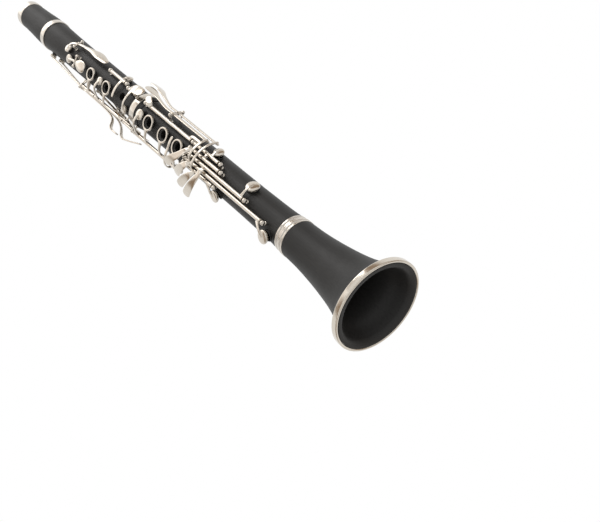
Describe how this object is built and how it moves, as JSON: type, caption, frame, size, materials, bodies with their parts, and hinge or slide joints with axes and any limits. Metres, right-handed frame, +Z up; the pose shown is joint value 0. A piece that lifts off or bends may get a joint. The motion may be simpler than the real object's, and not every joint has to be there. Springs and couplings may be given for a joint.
{
  "type": "clarinet",
  "caption": "Soprano clarinet in black wood with nickel ring keys, levers, rods and padded cups in Boehm layout, without its mouthpiece, standing on its bell.",
  "frame": {"origin": "centre of the bell mouth, in the plane of the bell rim", "axes": "+Z up the bore from the bell to the barrel, -Y towards the finger rings (front), -X towards the player's right hand side"},
  "size_m": [0.082, 0.082, 0.587],
  "materials": {
    "grenadilla": "matte black, oiled",
    "nickel": "polished plate",
    "cork": "matte",
    "pad_leather": "matte"
  },
  "bodies": {
    "instrument_body": {"bell": "grenadilla", "bell_rim_ring": "nickel", "bell_socket_ring": "nickel", "bell_tenon_cork": "cork", "lower_joint": "grenadilla", "lower_end_ring": "nickel", "middle_ring": "nickel", "middle_tenon_cork": "cork", "upper_joint": "grenadilla", "barrel_tenon_cork": "cork", "barrel_socket_ring": "nickel", "barrel": "grenadilla", "barrel_top_ring": "nickel", "register_tube": "nickel", "thumb_bushing": "nickel", "thumb_rest": "nickel", "upper_ring_rod": "nickel", "thumb_ring_rod": "nickel", "register_pivot": "nickel", "a_key_pivot": "nickel", "g_sharp_pivot": "nickel", "upper_trill_pivot": "nickel", "lower_trill_pivot": "nickel", "c_sharp_rod": "nickel", "e_flat_rod": "nickel", "lower_ring_rod": "nickel", "sliver_rod": "nickel", "low_e_rod": "nickel", "low_f_rod": "nickel", "a_flat_rod": "nickel", "f_sharp_touch_rod": "nickel", "f_sharp_rod": "nickel", "lever_saddle": "nickel"},
    "first_finger_ring": {"first_finger_ring_key": "nickel"},
    "second_finger_ring": {"second_finger_ring_key": "nickel"},
    "thumb_ring": {"thumb_ring_key": "nickel"},
    "register_key": {"register_key": "nickel"},
    "a_key": {"a_key": "nickel", "a_key_pad": "pad_leather"},
    "g_sharp_key": {"g_sharp_key": "nickel"},
    "first_trill": {"first_trill_key": "nickel"},
    "second_trill": {"second_trill_key": "nickel"},
    "third_trill": {"third_trill_key": "nickel"},
    "fourth_trill": {"fourth_trill_key": "nickel"},
    "c_sharp_key": {"c_sharp_key": "nickel"},
    "e_flat_sliver": {"e_flat_sliver_key": "nickel"},
    "lower_rings": {"lower_ring_stack": "nickel"},
    "lower_sliver": {"lower_sliver_key": "nickel"},
    "low_e_key": {"low_e_key": "nickel", "low_e_pad": "pad_leather"},
    "low_f_key": {"low_f_key": "nickel", "low_f_pad": "pad_leather"},
    "a_flat_key": {"a_flat_key": "nickel", "a_flat_pad": "pad_leather"},
    "f_sharp_pad_key": {"f_sharp_pad_key": "nickel", "f_sharp_leather_pad": "pad_leather"},
    "f_sharp_touch": {"f_sharp_touch_lever": "nickel"},
    "left_f_sharp": {"left_f_sharp_lever": "nickel"},
    "left_e": {"left_e_lever": "nickel"},
    "left_f": {"left_f_lever": "nickel"}
  },
  "joints": [
    {"name": "first_finger_ring_hinge", "type": "hinge", "parent": "instrument_body", "child": "first_finger_ring", "pos_m": [-0.01815, -0.01134, 0.42045], "axis": [0, 0, 1], "range_deg": [0, 5], "stiffness_Nm_per_rad": 0.04, "springref_deg": -6.88},
    {"name": "second_finger_ring_hinge", "type": "hinge", "parent": "instrument_body", "child": "second_finger_ring", "pos_m": [-0.01815, -0.01134, 0.3818], "axis": [0, 0, 1], "range_deg": [0, 5], "stiffness_Nm_per_rad": 0.04, "springref_deg": -6.88},
    {"name": "thumb_ring_hinge", "type": "hinge", "parent": "instrument_body", "child": "thumb_ring", "pos_m": [-0.01208, 0.0144, 0.41357], "axis": [0, 0, -1], "range_deg": [0, 5], "stiffness_Nm_per_rad": 0.04, "springref_deg": -6.88},
    {"name": "register_hinge", "type": "hinge", "parent": "instrument_body", "child": "register_key", "pos_m": [0.00335, 0.01901, 0.45805], "axis": [-0.9848, 0.1736, 0], "range_deg": [0, 5.5], "stiffness_Nm_per_rad": 0.04, "springref_deg": -6.88},
    {"name": "a_key_hinge", "type": "hinge", "parent": "instrument_body", "child": "a_key", "pos_m": [-0.00098, -0.01877, 0.45099], "axis": [0.9986, -0.0523, 0], "range_deg": [0, 6], "stiffness_Nm_per_rad": 0.04, "springref_deg": -6.88},
    {"name": "g_sharp_hinge", "type": "hinge", "parent": "instrument_body", "child": "g_sharp_key", "pos_m": [0.01306, -0.01352, 0.46493], "axis": [0.7193, 0.6947, 0], "range_deg": [0, 4.5], "stiffness_Nm_per_rad": 0.04, "springref_deg": -6.88},
    {"name": "first_trill_hinge", "type": "hinge", "parent": "instrument_body", "child": "first_trill", "pos_m": [-0.02253, -0.00407, 0.44005], "axis": [0.1779, -0.984, 0], "range_deg": [0, 2], "stiffness_Nm_per_rad": 0.04, "springref_deg": -6.88},
    {"name": "second_trill_hinge", "type": "hinge", "parent": "instrument_body", "child": "second_trill", "pos_m": [-0.02253, -0.00407, 0.44005], "axis": [0.1779, -0.984, 0], "range_deg": [0, 2], "stiffness_Nm_per_rad": 0.04, "springref_deg": -6.88},
    {"name": "third_trill_hinge", "type": "hinge", "parent": "instrument_body", "child": "third_trill", "pos_m": [-0.02155, 0.00774, 0.38604], "axis": [-0.3379, -0.9412, 0], "range_deg": [0, 3.5], "stiffness_Nm_per_rad": 0.04, "springref_deg": -6.88},
    {"name": "fourth_trill_hinge", "type": "hinge", "parent": "instrument_body", "child": "fourth_trill", "pos_m": [-0.02155, 0.00774, 0.38604], "axis": [-0.3379, -0.9412, 0], "range_deg": [0, 3.5], "stiffness_Nm_per_rad": 0.04, "springref_deg": -6.88},
    {"name": "c_sharp_hinge", "type": "hinge", "parent": "instrument_body", "child": "c_sharp_key", "pos_m": [0.01157, -0.01482, 0.35603], "axis": [0, 0, 1], "range_deg": [0, 6.5], "stiffness_Nm_per_rad": 0.04, "springref_deg": -6.88},
    {"name": "e_flat_hinge", "type": "hinge", "parent": "instrument_body", "child": "e_flat_sliver", "pos_m": [0.01329, -0.01329, 0.38445], "axis": [0, 0, -1], "range_deg": [0, 7], "stiffness_Nm_per_rad": 0.04, "springref_deg": -6.88},
    {"name": "lower_rings_hinge", "type": "hinge", "parent": "instrument_body", "child": "lower_rings", "pos_m": [-0.01951, -0.01038, 0.29528], "axis": [0, 0, 1], "range_deg": [0, 5], "stiffness_Nm_per_rad": 0.04, "springref_deg": -6.88},
    {"name": "lower_sliver_hinge", "type": "hinge", "parent": "instrument_body", "child": "lower_sliver", "pos_m": [-0.02205, -0.00154, 0.27298], "axis": [0, 0, 1], "range_deg": [0, 4.8], "stiffness_Nm_per_rad": 0.04, "springref_deg": -6.88},
    {"name": "low_e_hinge", "type": "hinge", "parent": "instrument_body", "child": "low_e_key", "pos_m": [-0.00238, -0.01936, 0.18607], "axis": [0, 0, -1], "range_deg": [0, 13], "stiffness_Nm_per_rad": 0.04, "springref_deg": -6.88},
    {"name": "low_f_hinge", "type": "hinge", "parent": "instrument_body", "child": "low_f_key", "pos_m": [-0.00699, -0.0182, 0.22134], "axis": [0, 0, -1], "range_deg": [0, 14], "stiffness_Nm_per_rad": 0.04, "springref_deg": -6.88},
    {"name": "a_flat_hinge", "type": "hinge", "parent": "instrument_body", "child": "a_flat_key", "pos_m": [0.00238, -0.01936, 0.202], "axis": [0, 0, -1], "range_deg": [0, 9], "stiffness_Nm_per_rad": 0.04, "springref_deg": -6.88},
    {"name": "f_sharp_touch_hinge", "type": "hinge", "parent": "instrument_body", "child": "f_sharp_touch", "pos_m": [0.00699, -0.0182, 0.22134], "axis": [0, 0, -1], "range_deg": [0, 7], "stiffness_Nm_per_rad": 0.04, "springref_deg": -6.88},
    {"name": "f_sharp_pad_hinge", "type": "hinge", "parent": "instrument_body", "child": "f_sharp_pad_key", "pos_m": [0.01174, -0.01557, 0.22612], "axis": [0, 0, 1], "range_deg": [0, 13], "stiffness_Nm_per_rad": 0.04, "springref_deg": -6.88},
    {"name": "left_f_sharp_hinge", "type": "hinge", "parent": "instrument_body", "child": "left_f_sharp", "pos_m": [0.01174, -0.01557, 0.28845], "axis": [0, 0, 1], "range_deg": [0, 13], "stiffness_Nm_per_rad": 0.04, "springref_deg": -6.88},
    {"name": "left_e_hinge", "type": "hinge", "parent": "instrument_body", "child": "left_e", "pos_m": [0.02025, -0.0086, 0.29209], "axis": [-0.3907, -0.9205, 0], "range_deg": [0, 4], "stiffness_Nm_per_rad": 0.04, "springref_deg": -6.88},
    {"name": "left_f_hinge", "type": "hinge", "parent": "instrument_body", "child": "left_f", "pos_m": [0.02025, -0.0086, 0.29209], "axis": [-0.3907, -0.9205, 0], "range_deg": [0, 4.2], "stiffness_Nm_per_rad": 0.04, "springref_deg": -6.88}
  ],
  "couplings": [
    {"joint": "second_finger_ring_hinge", "follows": "lower_rings_hinge", "ratio": 1},
    {"joint": "f_sharp_pad_hinge", "follows": "f_sharp_touch_hinge", "ratio": 1.855},
    {"joint": "left_f_sharp_hinge", "follows": "f_sharp_touch_hinge", "ratio": 1.855},
    {"joint": "left_e_hinge", "follows": "low_e_hinge", "ratio": 0.303},
    {"joint": "left_f_hinge", "follows": "low_f_hinge", "ratio": 0.3}
  ]
}
